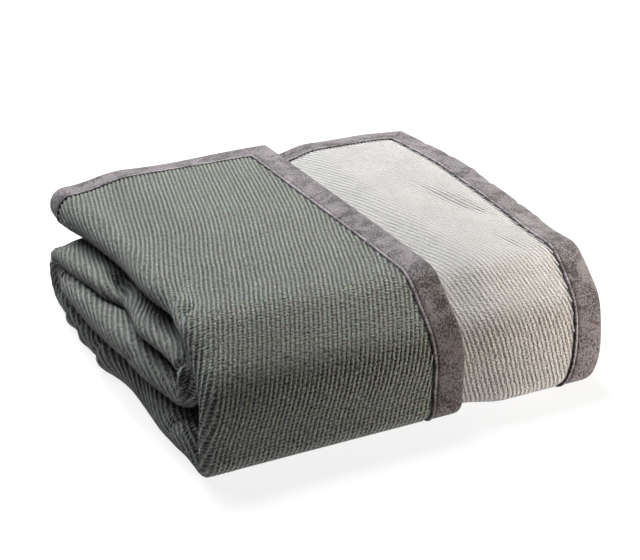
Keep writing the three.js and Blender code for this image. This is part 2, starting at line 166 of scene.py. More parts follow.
# Soft ridges and troughs placed one by one.
# First the place along the strip. Then the distance from the left fold's outermost line, less
# than zero on the outer layer and more than zero on the inner one. Then the half-length of the
# crease, its half-widths on its two sides and its angle from the strip's length. Last its
# height, less than zero for a trough on the green side.
CREASES = [
    # pocket where the second layer parts from its front half
    (1296, -27, 16, 11, 10, 22, -14.5),
    (1320, -15, 15, 8.5, 7, 24, -14.0),
    (1342, -6, 13, 6.5, 6, 30, -12.0),
    (1306, 3, 28, 4, 5, 18, 2.5),
    (1358, -20, 30, 5, 8, 24, 3.0),
    # crease where the back turn bends up under the second layer, and the slack above it
    (1112, 8, 24, 4, 6, 90, -7.0),
    (1135, 6, 18, 8, 8, 80, 2.5),
    (1150, -12, 20, 9, 12, 0, -6.5),
    # fuller noses, so that the layers meet in a thin line
    (1850, 13, 60, 9, 9, 0, 4.0),
    (1715, 12, 55, 6, 6, 0, 2.0),
    (1215, 13, 55, 8, 8, 0, 2.0),
    # wrinkles of the inner layer
    (1760, -10, 40, 5, 5, 20, -2.0),
    (1690, 4, 24, 4, 6, -20, -2.0),
    # tucks of the underside's left fold
    (984, 6, 18, 14, 3.0, 84, 5.5),
    (994, 8, 14, 3.0, 5, 84, -5.5),
    (930, 6, 18, 16, 3.0, 82, 5.0),
    (943, 11, 14, 3.0, 5, 82, -7.0),
    (862, 6, 20, 26, 3.5, 96, 5.5),
    (880, 10, 16, 3.0, 7, 96, -6.0),
    (760, 10, 40, 9, 9, 12, -2.5),
    (667, 19, 18, 4, 4, 115, -7.5),
    (650, 14, 18, 7, 6, 115, 2.0),
    # hollow under the front half of the second layer, and the pleats of the inner front turn
    (1470, 9, 50, 12, 12, 0, -4.5),
    (1524, -4, 11, 3.5, 4.5, 90, -7.0),
    (1555, -15, 24, 4, 3, 0, 4.0),
    (1554, -9, 22, 2.6, 2.6, 0, -6.0),
    (1555, -3, 24, 3.5, 3, 0, 4.0),
    (1560, 5, 24, 3, 3, 0, -5.0),
    (1715, -14, 50, 11, 11, 0, -4.5),
    # dimple and wrinkles at the front corner of the top
    (374, -16, 15, 5, 3.5, 24, -2.5),
    (418, -13, 14, 5, 6, 50, -7.0),
    (400, -6, 18, 4, 4, 38, 2.0),
    (440, -20, 18, 5, 4, 30, -2.0),
    # slack of the top's left side and of its back edge
    (205, -27, 34, 11, 11, 4, -2.5),
    (120, -22, 30, 10, 10, -8, 1.6),
    (300, -34, 40, 14, 12, 10, -1.8),
    (480, -12, 30, 7, 5, 6, -2.5),
    (530, -20, 30, 9, 7, -6, 1.6),
    (45, 8, 45, 8, 8, 0, 4.0),
    (0, -150, 26, 70, 80, 0, -4.0),
    (0, 395, 30, 95, 95, 0, 3.5),
    # troughs of the single layer on the right, and the puckers along its bound edge
    (270, 402, 66, 16, 16, 16, 4.5),
    (410, 398, 26, 8, 8, 20, 2.0),
    (62, 498, 14, 5, 7, 84, 1.8),
    (122, 496, 15, 6, 5, 94, 2.0),
    (182, 492, 14, 5, 7, 82, -1.6),
    (226, 492, 14, 5, 5, 96, 1.8),
    (296, 488, 15, 6, 6, 86, 2.0),
    (340, 484, 14, 5, 5, 92, -1.0),
]


def smooth_step(value):
    q = np.clip(value, 0, 1)
    return q * q * (3 - 2 * q)


def ease_in(value):
    eased = np.where(value < DROOP_EASE, value**2 / (2 * DROOP_EASE), value - DROOP_EASE / 2)
    return eased / (1 - DROOP_EASE / 2)


def roll_pieces():
    """The rolled line as runs and arcs: start length, start point, heading, length, bend."""
    pieces = []
    along = 0.0
    start = np.array(CORNERS[0][1:3], dtype=float)
    for i in range(1, len(CORNERS)):
        corner = np.array(CORNERS[i][1:3], dtype=float)
        run = corner - start
        heading = math.atan2(run[1], run[0])
        length = float(np.hypot(*run))
        if i == len(CORNERS) - 1:
            pieces.append((along, start, heading, length, 0.0))
            break
        onward = np.array(CORNERS[i + 1][1:3], dtype=float) - corner
        turn = math.atan2(onward[1], onward[0]) - heading
        turn = math.atan2(math.sin(turn), math.cos(turn))
        radius = CORNERS[i][3]
        set_back = radius * math.tan(abs(turn) / 2)
        pieces.append((along, start, heading, length - set_back, 0.0))
        along += length - set_back
        arc = radius * abs(turn)
        pieces.append((along, corner - run / length * set_back, heading, arc, turn))
        along += arc
        start = corner + onward / np.hypot(*onward) * set_back
    return pieces


PIECES = roll_pieces()
STRIP_LENGTH = PIECES[-1][0] + PIECES[-1][3]


def roll_at(length):
    """Place and heading of the rolled line at lengths along it; straight beyond its ends."""
    y = np.empty_like(length)
    z = np.empty_like(length)
    heading = np.empty_like(length)
    for i, (along, start, direction, span, bend) in enumerate(PIECES):
        here = length >= along if i > 0 else np.ones(length.shape, bool)
        travelled = length[here] - along
        if bend == 0:
            y[here] = start[0] + travelled * math.cos(direction)
            z[here] = start[1] + travelled * math.sin(direction)
            heading[here] = direction
        else:
            radius = span / bend
            turned = direction + bend * travelled / span
            y[here] = start[0] + radius * (np.sin(turned) - math.sin(direction))
            z[here] = start[1] - radius * (np.cos(turned) - math.cos(direction))
            heading[here] = turned
    return y, z, heading


SECTION_TABLE = np.array(SECTIONS, dtype=float)


def column_slopes(values):
    """Slope of a table column at each row, flat at its peaks and hollows."""
    rises = np.diff(values) / np.diff(SECTION_TABLE[:, 0])
    slopes = np.zeros(len(values))
    before, after = rises[:-1], rises[1:]
    same_way = before * after > 0
    total = np.where(same_way, before + after, 1)
    slopes[1:-1] = np.where(same_way, 2 * before * after / total, 0)
    return slopes


def section_at(length):
    """Every column of the section table at lengths along the strip, on smooth curves."""
    rows = SECTION_TABLE[:, 0]
    i = np.clip(np.searchsorted(rows, length, side="right") - 1, 0, len(rows) - 2)
    span = rows[i + 1] - rows[i]
    f = np.clip((length - rows[i]) / span, 0, 1)
    held = (2 * f - 3) * f * f + 1
    section = {}
    for k, name in enumerate(SECTION_COLUMNS[1:], start=1):
        values = SECTION_TABLE[:, k]
        slopes = column_slopes(values)
        bend = f * (1 - f) * span * ((1 - f) * slopes[i] - f * slopes[i + 1])
        section[name] = held * values[i] + (1 - held) * values[i + 1] + bend
    section["mid"] = section["fold"] + section["round"]
    return section


def from_edge1(length, distance):
    s = section_at(length)
    return distance / (s["edge1"] - s["mid"])


def from_edge2(length, distance):
    s = section_at(length)
    return 3 - distance / (s["edge2"] - s["mid"])


def end_slant(length, across):
    """How far the cloth reaches on towards the slanting inner end."""
    near_end = smooth_step((length - STRIP_LENGTH + END_SLANT_LENGTH) / END_SLANT_LENGTH)
    aside = np.clip(np.abs(across_distance(length, across)) / END_SLANT_WIDTH, 0, 1)
    return END_REACH * near_end * (1 - smooth_step(aside))


def plain_point(length, across):
    """Middle of the cloth: across is 0 at edge1, 1 to 2 round the left fold and 3 at edge2."""
    s = section_at(length)
    y, z, heading = roll_at(length + end_slant(length, across))
    angle = math.pi / 2 + (np.clip(across, 1, 2) - 1) * math.pi
    fold_x = s["mid"] + s["round"] * np.cos(angle)
    fold_out = s["round"] * (np.sin(angle) - 1) - s["drop"]
    outer = across <= 1
    flat_x = np.where(
        outer,
        s["edge1"] + (s["mid"] - s["edge1"]) * across,
        s["mid"] + (s["edge2"] - s["mid"]) * (across - 2),
    )
    fade = np.cos(math.pi / 2 * np.clip((flat_x - s["mid"]) / FOLD_TAPER, 0, 1)) ** 2
    beyond = smooth_step((flat_x - s["edge1"] - STEP_START) / STEP_LENGTH)
    inner = -s["gap"] + (s["gap"] - s["step"]) * beyond
    inner = inner + (-s["drop"] - 2 * s["round"] - inner) * fade
    near_edge2 = np.clip(1 - (s["edge2"] - flat_x) / DROOP_REACH, 0, PAST_EDGE)
    inner = inner - s["droop"] * ease_in(near_edge2)
    flat_out = np.where(outer, -s["drop"] * fade, inner)
    folded = (across > 1) & (across < 2)
    x = np.where(folded, fold_x, flat_x)
    out = np.where(folded, fold_out, flat_out)
    pull = np.clip((x - PULL_START) / (s["edge2"] - PULL_START), 0, PAST_EDGE) ** 2
    return np.stack(
        [
            x,
            y + out * np.sin(heading) + s["pull_y"] * pull,
            z - out * np.cos(heading) + s["pull_z"] * pull,
        ],
        axis=-1,
    )


def across_distance(length, across):
    """Distance from the left fold's outermost line, less than zero on the outer layer."""
    s = section_at(length)
    half_arc = s["round"] * math.pi / 2
    outer = -half_arc - (s["edge1"] - s["mid"]) * (1 - across)
    folded = (across - 1.5) * 2 * half_arc
    inner = half_arc + (s["edge2"] - s["mid"]) * (across - 2)
    return np.where(across < 1, outer, np.where(across < 2, folded, inner))


def facing(length, across):
    """Direction away from the uncreased cloth on its green side."""
    step = 0.004
    low = np.clip(across, -0.5, 3.5) - step
    along = plain_point(length + 1, across) - plain_point(length - 1, across)
    over = plain_point(length, low + 2 * step) - plain_point(length, low)
    normal = np.cross(over, along)
    return normal / np.linalg.norm(normal, axis=-1, keepdims=True)


def relief(length, across):
    """Height of the creases, more than zero towards the green side."""
    distance = across_distance(length, across)
    height = np.zeros_like(length)
    for along, place, reach, near, far, turn, lift in CREASES:
        angle = math.radians(turn)
        run, side = length - along, distance - place
        lengthwise = run * math.cos(angle) + side * math.sin(angle)
        crosswise = side * math.cos(angle) - run * math.sin(angle)
        width = np.where(crosswise > 0, near, far)
        height += lift * np.exp(-((lengthwise / reach) ** 2) - (crosswise / width) ** 2)
    return height


def off_cloth(length, across, offset):
    """Points off the middle of the cloth, to the green side for a positive offset, over the floor."""
    length, across, offset = np.broadcast_arrays(
        np.asarray(length, float), np.asarray(across, float), np.asarray(offset, float)
    )
    height = relief(length, across) + offset
    points = plain_point(length, across) + facing(length, across) * height[..., None]
    points[..., 2] = np.maximum(points[..., 2], 0.0)
    return points


def station_lengths():
    """Lengths along the strip at which it is measured: closer together round the turns."""
    stations = []
    for along, _start, _direction, span, bend in PIECES:
        steps = max(math.ceil(span / ALONG_SPACING), math.ceil(abs(bend) / TURN_ANGLE), 1)
        stations.extend(along + span * k / steps for k in range(steps))
    ends = [*EDGE_DISTANCES, *(STRIP_LENGTH - d for d in reversed(EDGE_DISTANCES))]
    clear = PRESS_END + ALONG_SPACING / 2
    middle = [length for length in stations if clear < length < STRIP_LENGTH - clear]
    return np.array(ends[: len(EDGE_DISTANCES)] + middle + ends[len(EDGE_DISTANCES) :])


STATIONS = station_lengths()


def across_places(length):
    """Places across the cloth at each station, one row for each."""
    s = section_at(length)
    first = from_edge1(length, EDGE_DISTANCES[-1])
    last = from_edge2(length, EDGE_DISTANCES[-1])
    outer_width = np.max(s["edge1"] - s["mid"])
    inner_width = np.max(s["edge2"] - s["mid"])
    columns = [from_edge1(length, d) for d in EDGE_DISTANCES]
    fine = math.ceil(FOLD_REACH / FOLD_SPACING)
    outer_share = FOLD_REACH / (s["edge1"] - s["mid"])
    inner_share = FOLD_REACH / (s["edge2"] - s["mid"])
    outer_steps = math.ceil((outer_width - FOLD_REACH) / ACROSS_SPACING)
    inner_steps = math.ceil((inner_width - FOLD_REACH) / ACROSS_SPACING)
    columns += [first + (1 - outer_share - first) * k / outer_steps for k in range(1, outer_steps)]
    columns += [1 - outer_share * (1 - k / fine) for k in range(fine)]
    columns += [np.full_like(length, 1 + k / FOLD_COLUMNS) for k in range(FOLD_COLUMNS)]
    columns += [2 + inner_share * k / fine for k in range(fine)]
    start = 2 + inner_share
    columns += [start + (last - start) * k / inner_steps for k in range(inner_steps)]
    columns += [from_edge2(length, d) for d in reversed(EDGE_DISTANCES)]
    return np.stack(columns, axis=-1)


def grid_faces(rows, columns, closed=False):
    """Four-sided faces of a grid of points; closed joins its last column to its first."""
    r = np.arange(rows - 1)[:, None]
    k = np.arange(columns if closed else columns - 1)[None, :]
    onward = (k + 1) % columns
    faces = [r * columns + k, r * columns + onward, (r + 1) * columns + onward, (r + 1) * columns + k]
    return np.stack(np.broadcast_arrays(*faces), axis=-1).reshape(-1, 4)


def signed_volume(points, faces):
    """Six times the volume that the faces close in, positive where they point out."""
    total = 0.0
    for count in {len(face) for face in faces}:
        picked = np.array([face for face in faces if len(face) == count])
        for k in range(1, count - 1):
            a, b, c = points[picked[:, 0]], points[picked[:, k]], points[picked[:, k + 1]]
            total += np.einsum("ij,ij->i", a, np.cross(b, c)).sum()
    return total


def put_in_scene(name, data):
    """Object of a mesh, light or camera, in the scene."""
    item = bpy.data.objects.new(name, data)
    bpy.context.collection.objects.link(item)
    return item


def riding(piece):
    """The piece, told which body carries it."""
    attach(piece, "root")
    return piece


def make_piece(name, points, faces, flat_places, material):
    """Mesh object from points in the roll's millimetres, with the cloth's own UV map."""
    points = (points.reshape(-1, 3) - [CENTRE_X, CENTRE_Y, 0.0]) * MM
    if signed_volume(points, faces) < 0:
        faces = [face[::-1] for face in faces]
    mesh = bpy.data.meshes.new(name)
    mesh.from_pydata(points.tolist(), [], faces)
    mesh.polygons.foreach_set("use_smooth", [True] * len(mesh.polygons))
    layer = mesh.uv_layers.new(name="cloth")
    corners = np.empty(len(mesh.loops), dtype=np.int32)
    mesh.loops.foreach_get("vertex_index", corners)
    layer.uv.foreach_set("vector", (flat_places.reshape(-1, 2) * MM)[corners].ravel())
    mesh.materials.append(material)
    return riding(put_in_scene(name, mesh))


def flat_size():
    """Width and length of the cloth laid flat, in metres."""
    widths = across_distance(STATIONS, 3.0 + 0 * STATIONS) - across_distance(STATIONS, 0 * STATIONS)
    return float(np.median(widths)) * MM, STRIP_LENGTH * MM


def rib_sway(length, distance):
    """How far the ribs wander from straight lines, on the cloth and at the pinch in the fold."""
    slow = np.sin(length / 47 + 1.4 * np.sin(distance / 61 + 0.6))
    quick = np.sin(length / 19 + 2.2 * np.sin(distance / 37 + 2.0) + distance / 53)
    pinch = PINCH_SHIFT * np.exp(-(((length - PINCH_AT) / PINCH_REACH) ** 2))
    return SLOW_SWAY * slow + QUICK_SWAY * quick - pinch * np.clip(distance / PINCH_TURN, -1, 1)


def cloth_uv(length, across):
    """Flat place of points of the cloth, sheared so that its ribs run straight up the map."""
    distance = across_distance(length, across)
    share = smooth_step((distance - SKEW_START) / SKEW_LENGTH)
    slant = OUTER_SKEW + (INNER_SKEW - OUTER_SKEW) * share
    straight = distance - length * slant - rib_sway(length, distance)
    return np.stack([straight, length], axis=-1)


def across_at(length, distance):
    """Place across the cloth at a distance from the left fold's outermost line."""
    s = section_at(length)
    half_arc = s["round"] * math.pi / 2
    outer = 1 + (distance + half_arc) / (s["edge1"] - s["mid"])
    inner = 2 + (distance - half_arc) / (s["edge2"] - s["mid"])
    folded = 1.5 + distance / (2 * half_arc)
    return np.where(distance < -half_arc, outer, np.where(distance > half_arc, inner, folded))


# Where the knit's ribs stand out as solid ones: from one length along the strip to another, and
# from one distance from the left fold to another. The cream ones keep near the outer edge.
RIB_STEP = 4.6
RIB_MARGIN = BINDING_WIDTH + 1.0
RIB_FIELDS = {
    "green": [
        (RIB_MARGIN, 556, -400, 40),
        (556, 1012, -34, 48),
        (1012, 1128, -400, 48),
        (1128, 1889, -34, 48),
    ],
    "cream": [
        (RIB_MARGIN, 556, 240, 600),
        (1012, 1128, 240, 600),
    ],
}
CREAM_SHOWN = 232.0
SWAY_ROOM = 3

# How deep a rib's middle line lies in the face, its least height over the floor, and the fewest
# points of a rib
RIB_SUNK = 0.25
RIB_CLEAR = 1.25
RIB_FEWEST_POINTS = 3

# The two knitted faces. side: 1 on the cloth's green side, -1 on the other. skew: sideways
# shift of the raised ribs for each length. heather: contrast of the yarn's flecks. tint: how
# far single specks are dyed apart. depth, rise: shares of the settings for the bump and the ribs.
KNITS = {
    "green": {"side": 1, "skew": OUTER_SKEW, "heather": 5.5, "tint": 0.6, "depth": 1.0, "rise": 0.7},
    "cream": {"side": -1, "skew": INNER_SKEW, "heather": 3.2, "tint": 0.12, "depth": 0.6, "rise": 0.2},
}


def rib_lines(face, pitch):
    """Middle lines of a face's raised ribs, with their facing and their flat place."""
    side, skew = KNITS[face]["side"], KNITS[face]["skew"]
    lines = []
    for start, end, low, high in RIB_FIELDS[face]:
        length = np.linspace(start, end, math.ceil((end - start) / RIB_STEP) + 1)
        edge1 = across_distance(length, from_edge1(length, RIB_MARGIN))
        edge2 = across_distance(length, from_edge2(length, RIB_MARGIN))
        low_line = np.maximum(low, edge1)
        high_line = np.minimum(high, edge2)
        reach = skew * length
        first = math.ceil((np.min(low_line - reach) - SWAY_ROOM) / pitch)
        last = math.floor((np.max(high_line - reach) + SWAY_ROOM) / pitch)
        for k in range(first, last + 1):
            place = k * pitch + reach
            distance = place + rib_sway(length, place)
            inside = (distance > low_line) & (distance < high_line)
            if side < 0:
                inside &= distance > across_distance(length, 3 + 0 * length) - CREAM_SHOWN
            ends = np.flatnonzero(np.diff(np.concatenate([[0], inside.astype(int), [0]])))
            for a, b in zip(ends[::2], ends[1::2]):
                if b - a >= RIB_FEWEST_POINTS:
                    here = length[a:b]
                    across = across_at(here, distance[a:b])
                    points = off_cloth(here, across, side * (CLOTH_HALF - RIB_SUNK))
                    points[..., 2] = np.maximum(points[..., 2], RIB_CLEAR)
                    normal = facing(here, across) * side
                    flat = np.stack([np.full(b - a, k * pitch), here], axis=-1)
                    lines.append((points, normal, flat))
    return lines


def face_thickness(length, across_index, count):
    """Thickness of one face: pressed thin inside the binding, full beyond it."""
    nearest = min(across_index, count - 1 - across_index)
    inset = EDGE_DISTANCES[nearest] if nearest < len(EDGE_DISTANCES) else math.inf
    inset = np.minimum(np.minimum(length, STRIP_LENGTH - length), inset)
    ramp = np.clip((inset - PRESS_START) / (PRESS_END - PRESS_START), 0, 1)
    return PRESSED_THICK + (FACE_THICK - PRESSED_THICK) * ramp


def kept_lines(count):
    """Lines of the grid that the hidden side keeps: every few, and each near the borders."""
    border = len(EDGE_DISTANCES)
    middle = range(border, count - border, HIDDEN_STEP)
    return np.array([*range(border), *middle, *range(count - border, count)])


def rim_faces(fine_line, coarse_line, shared):
    """Faces that join a finer border to a coarser one, which share the places given."""
    faces = []
    for k in range(len(coarse_line) - 1):
        between = fine_line[shared[k] : shared[k + 1] + 1]
        faces.append([coarse_line[k + 1], coarse_line[k], *between])
    return faces


def build_face(name, side, material):
    """One knitted face of the cloth as a thin closed sheet that follows every fold."""
    across = across_places(STATIONS)
    rows, columns = across.shape
    length = np.repeat(STATIONS[:, None], columns, axis=1)
    thick = np.stack([face_thickness(STATIONS, k, columns) for k in range(columns)], axis=-1)
    shown = off_cloth(length, across, side * (FACE_SPACE / 2 + thick))
    kept_rows, kept_columns = kept_lines(rows), kept_lines(columns)
    picked = np.ix_(kept_rows, kept_columns)
    hidden = off_cloth(length[picked], across[picked], side * FACE_SPACE / 2)
    points = np.concatenate([shown.reshape(-1, 3), hidden.reshape(-1, 3)])
    uv = cloth_uv(length, across)
    uv = np.concatenate([uv.reshape(-1, 2), uv[picked].reshape(-1, 2)])
    front = np.arange(rows * columns).reshape(rows, columns)
    back = np.arange(hidden[..., 0].size).reshape(hidden.shape[:2]) + rows * columns
    faces = grid_faces(rows, columns).tolist()
    faces += (grid_faces(*back.shape)[:, ::-1] + rows * columns).tolist()
    faces += rim_faces(front[:, 0], back[:, 0], kept_rows)
    faces += [face[::-1] for face in rim_faces(front[:, -1], back[:, -1], kept_rows)]
    faces += [face[::-1] for face in rim_faces(front[0], back[0], kept_columns)]
    faces += rim_faces(front[-1], back[-1], kept_columns)
    return make_piece(name, points, faces, uv, material)


# Profile of the binding: body, stitched groove and bead at the inner edge
BODY_HEIGHT = 4.1
EDGE_HEIGHT = 3.9
EDGE_ROUND = 3.0
GROOVE_DEPTH = 1.6
GROOVE_WIDTH = 1.1
BEAD_HEIGHT = 1.2
BEAD_CENTRE = 33.7
BEAD_WIDTH = 1.7
BEAD_FALL = 35.2
FALL_STEEPNESS = 1.6
EDGE_TURNS = np.linspace(math.radians(20), math.radians(160), 7)
CAVITY_INSETS = (BINDING_WIDTH, 18.0, -BINDING_CLEAR)
OUTLINE_INSETS = (36.3, 36.0, 35.3, 34.4, 33.4, 32.5, 31.8, 31.2, 30.6, 29.8, 28.5, 25, 20, 14, 8, 4)
MITRE_RINGS = 6
STITCH_RISE = 0.15
LONG_SEAM_POINTS = 700
END_SEAM_POINTS = 260


def binding_height(inset):
    """Height of the binding over the middle of the cloth."""
    groove = GROOVE_DEPTH * math.exp(-(((inset - SEAM_INSET) / GROOVE_WIDTH) ** 2))
    bead = BEAD_HEIGHT * math.exp(-(((inset - BEAD_CENTRE) / BEAD_WIDTH) ** 2))
    fall = FALL_STEEPNESS * max(0.0, inset - BEAD_FALL) ** 2
    return BODY_HEIGHT - groove + bead - fall


def binding_outline():
    """Closed outline of the folded binding: inset from the cloth's edge, offset from its middle."""
    inside = FACE_SPACE / 2 + PRESSED_THICK + BINDING_CLEAR
    top = [(inset, binding_height(inset)) for inset in OUTLINE_INSETS]
    reach = BINDING_LIP + EDGE_ROUND
    edge = [(EDGE_ROUND - reach * math.sin(a), EDGE_HEIGHT * math.cos(a)) for a in EDGE_TURNS]
    bottom = [(inset, -height) for inset, height in reversed(top)]
    cavity = [(inset, -inside) for inset in CAVITY_INSETS]
    cavity += [(inset, inside) for inset in reversed(CAVITY_INSETS)]
    return np.array(top + edge + bottom + cavity)


def build_binding(name, length, across, material):
    """Binding as rings of its outline, each ring at its own lengths and places across."""
    outline = binding_outline()
    points = off_cloth(length, across, outline[:, 1])
    rows, count = length.shape
    faces = grid_faces(rows, count, closed=True)
    flat = [Vector((inset, offset, 0)) for inset, offset in outline]
    cap = np.array(tessellate_polygon([flat]))
    if cap_turns_on(cap, count):
        cap = cap[:, ::-1]
    last = (rows - 1) * count
    faces = faces.tolist() + cap.tolist() + (cap[:, ::-1] + last).tolist()
    piece = make_piece(name, points, faces, cloth_uv(length, across), material)
    # Each point's inset, which the plush material reads to paint its lines of shade and highlight
    layer = piece.data.attributes.new("inset", "FLOAT", "POINT")
    layer.data.foreach_set("value", np.tile(outline[:, 0] * MM, rows))
    return piece


def cap_turns_on(cap, count):
    """True if the cap's triangles run the same way round the outline as the rings do."""
    for a, b, c in cap:
        for first, second in ((a, b), (b, c), (c, a)):
            if (second - first) % count == 1:
                return True
    return False


def build_long_binding(name, from_edge, material):
    """Binding folded over a long edge, mitred at both ends."""
    inset = binding_outline()[:, 0]
    first = inset + MITRE_SPACE
    last = STRIP_LENGTH - inset - MITRE_SPACE
    low, high = PRESS_END, STRIP_LENGTH - PRESS_END
    shares = np.arange(MITRE_RINGS) / MITRE_RINGS
    rings = [first + (low - first) * share for share in shares]
    rings += [np.full_like(inset, x) for x in STATIONS if low - 0.01 <= x <= high + 0.01]
    rings += [high + (last - high) * share for share in shares + 1 / MITRE_RINGS]
    length = np.array(rings)
    across = from_edge(length, np.broadcast_to(inset, length.shape))
    return build_binding(name, length, across, material)


def build_end_binding(name, at_start, material):
    """Binding folded over an end of the strip, running round the left fold."""
    inset = binding_outline()[:, 0]
    length = inset if at_start else STRIP_LENGTH - inset
    places = across_places(length)
    skipped = len(EDGE_DISTANCES) - 1
    middle = [places[:, k] for k in range(skipped, places.shape[1] - skipped)]
    first = from_edge1(length, inset + MITRE_SPACE)
    last = from_edge2(length, inset + MITRE_SPACE)
    shares = np.arange(MITRE_RINGS) / MITRE_RINGS
    rings = [first + (middle[0] - first) * share for share in shares]
    rings += middle
    rings += [middle[-1] + (last - middle[-1]) * share for share in shares + 1 / MITRE_RINGS]
    across = np.array(rings)
    return build_binding(name, np.broadcast_to(length, across.shape), across, material)


def seam_lines():
    """Lines of points along the binding's stitched groove, on both sides of the cloth."""
    height = binding_height(SEAM_INSET) + STITCH_RISE
    lengths = np.linspace(SEAM_INSET, STRIP_LENGTH - SEAM_INSET, LONG_SEAM_POINTS)
    lines = []
    for side in (1, -1):
        for from_edge in (from_edge1, from_edge2):
            lines.append(off_cloth(lengths, from_edge(lengths, SEAM_INSET), side * height))
        for at in (SEAM_INSET, STRIP_LENGTH - SEAM_INSET):
            here = np.full(END_SEAM_POINTS, at)
            first, last = from_edge1(here, SEAM_INSET)[0], from_edge2(here, SEAM_INSET)[0]
            across = np.linspace(first, last, END_SEAM_POINTS)
            lines.append(off_cloth(here, across, side * height))
    return lines


def add_node(tree, kind, inputs=None, **settings):
    """New node of a tree; each input takes a value or another node's socket."""
    node = tree.nodes.new(kind)
    for name, value in settings.items():
        setattr(node, name, value)
    for key, term in (inputs or {}).items():
        if isinstance(term, bpy.types.NodeSocket):
            tree.links.new(term, node.inputs[key])
        else:
            node.inputs[key].default_value = term
    return node


def out_of(tree, kind, inputs=None, output=0, **settings):
    """One output of a new node."""
    return add_node(tree, kind, inputs, **settings).outputs[output]


def math_node(tree, operation, *terms):
    """Output of a Math node; each term is a number or another node's socket."""
    return out_of(tree, "ShaderNodeMath", dict(enumerate(terms)), operation=operation)


def weighted_sum(tree, total, *parts):
    """Total plus each part, which is a socket and its share."""
    for socket, share in parts:
        total = math_node(tree, "MULTIPLY_ADD", socket, share, total)
    return total


def wave(tree, turn):
    """Cosine wave from 0 to 1 that peaks at each whole turn."""
    swing = math_node(tree, "COSINE", math_node(tree, "MULTIPLY", turn, 2 * math.pi))
    return math_node(tree, "MULTIPLY_ADD", swing, 0.5, 0.5)


def noise_node(tree, vector, size, detail=2.0, roughness=0.5, distortion=0.0, output="Fac"):
    """Noise about 0.5 with features of a given size in metres."""
    inputs = {
        "Vector": vector,
        "Scale": 1 / size,
        "Detail": detail,
        "Roughness": roughness,
        "Distortion": distortion,
    }
    return out_of(tree, "ShaderNodeTexNoise", inputs, output)


def mix_colors(tree, factor, first, second):
    """Colour between the first at factor 0 and the second at factor 1, and no further."""
    held = out_of(tree, "ShaderNodeClamp", {"Value": factor})
    inputs = {"Factor": held, 6: (*first, 1), 7: (*second, 1)}
    return out_of(tree, "ShaderNodeMix", inputs, 2, data_type="RGBA")


def scaled_color(tree, color, scale):
    return out_of(tree, "ShaderNodeVectorMath", {0: color, "Scale": scale}, operation="SCALE")


def near_line(tree, inset, place, reach):
    """1 on the line at a given inset, falling softly to 0 at a distance from it."""
    away = math_node(tree, "ABSOLUTE", math_node(tree, "SUBTRACT", inset, place))
    inputs = {"Value": away, "From Min": 0.0, "From Max": reach, "To Min": 1.0, "To Max": 0.0}
    return out_of(tree, "ShaderNodeMapRange", inputs, "Result", interpolation_type="SMOOTHSTEP")


def cloth_map(tree):
    return out_of(tree, "ShaderNodeUVMap", output="UV", uv_map="cloth")


def new_material(name, roughness, specular):
    """Material, its tree and its shader."""
    material = bpy.data.materials.new(name)
    material.use_nodes = True
    tree = material.node_tree
    shader = tree.nodes["Principled BSDF"]
    shader.inputs["Roughness"].default_value = roughness
    shader.inputs["Specular IOR Level"].default_value = specular
    return material, tree, shader


def fabric_material(name, roughness, sheen):
    """Material with the soft sheen of cloth."""
    material, tree, shader = new_material(name, roughness, specular=0.2)
    shader.inputs["Sheen Weight"].default_value = sheen
    shader.inputs["Sheen Roughness"].default_value = 0.45
    return material, tree, shader


def set_surface(tree, shader, color, height, depth):
    """Colour and bump of a material from sockets of its tree; depth is in metres."""
    bump = out_of(tree, "ShaderNodeBump", {"Height": height, "Distance": depth, "Strength": 1.0})
    tree.links.new(color, shader.inputs["Base Color"])
    tree.links.new(bump, shader.inputs["Normal"])


# Knit: sizes of its unevenness in metres, how far the jitter throws the ribs and the rows off,
# in ribs and rows, and how much each detail lightens the yarn's colour and lifts it: the
# grooves and holes darken it as painted shade, each loop's top lightens it as a painted
# highlight, and the flecks are the yarn's own.
JITTER_SIZE = 0.0035
RIB_JITTER = 0.45
ROW_JITTER = -0.8
YARN_SIZE = 0.0032
FLECK_SIZE = 0.003
PATCH_SIZE = 0.05
PATCH_CONTRAST = 0.3
SPECK_SIZE = 1 / 260
GROOVE_SHARPNESS = 1.6
KNIT_LIGHT = 0.86
# Painted shade in the grooves and holes, and a painted highlight on each loop's top
PAINTED_GROOVE_SHADE = -0.1
PAINTED_HOLE_SHADE = -3.2
PAINTED_BEAD_HIGHLIGHT = 0.5
HOLE_LIFT = -1.6
BEAD_LIFT = 1.0
YARN_LIFT = 8.0


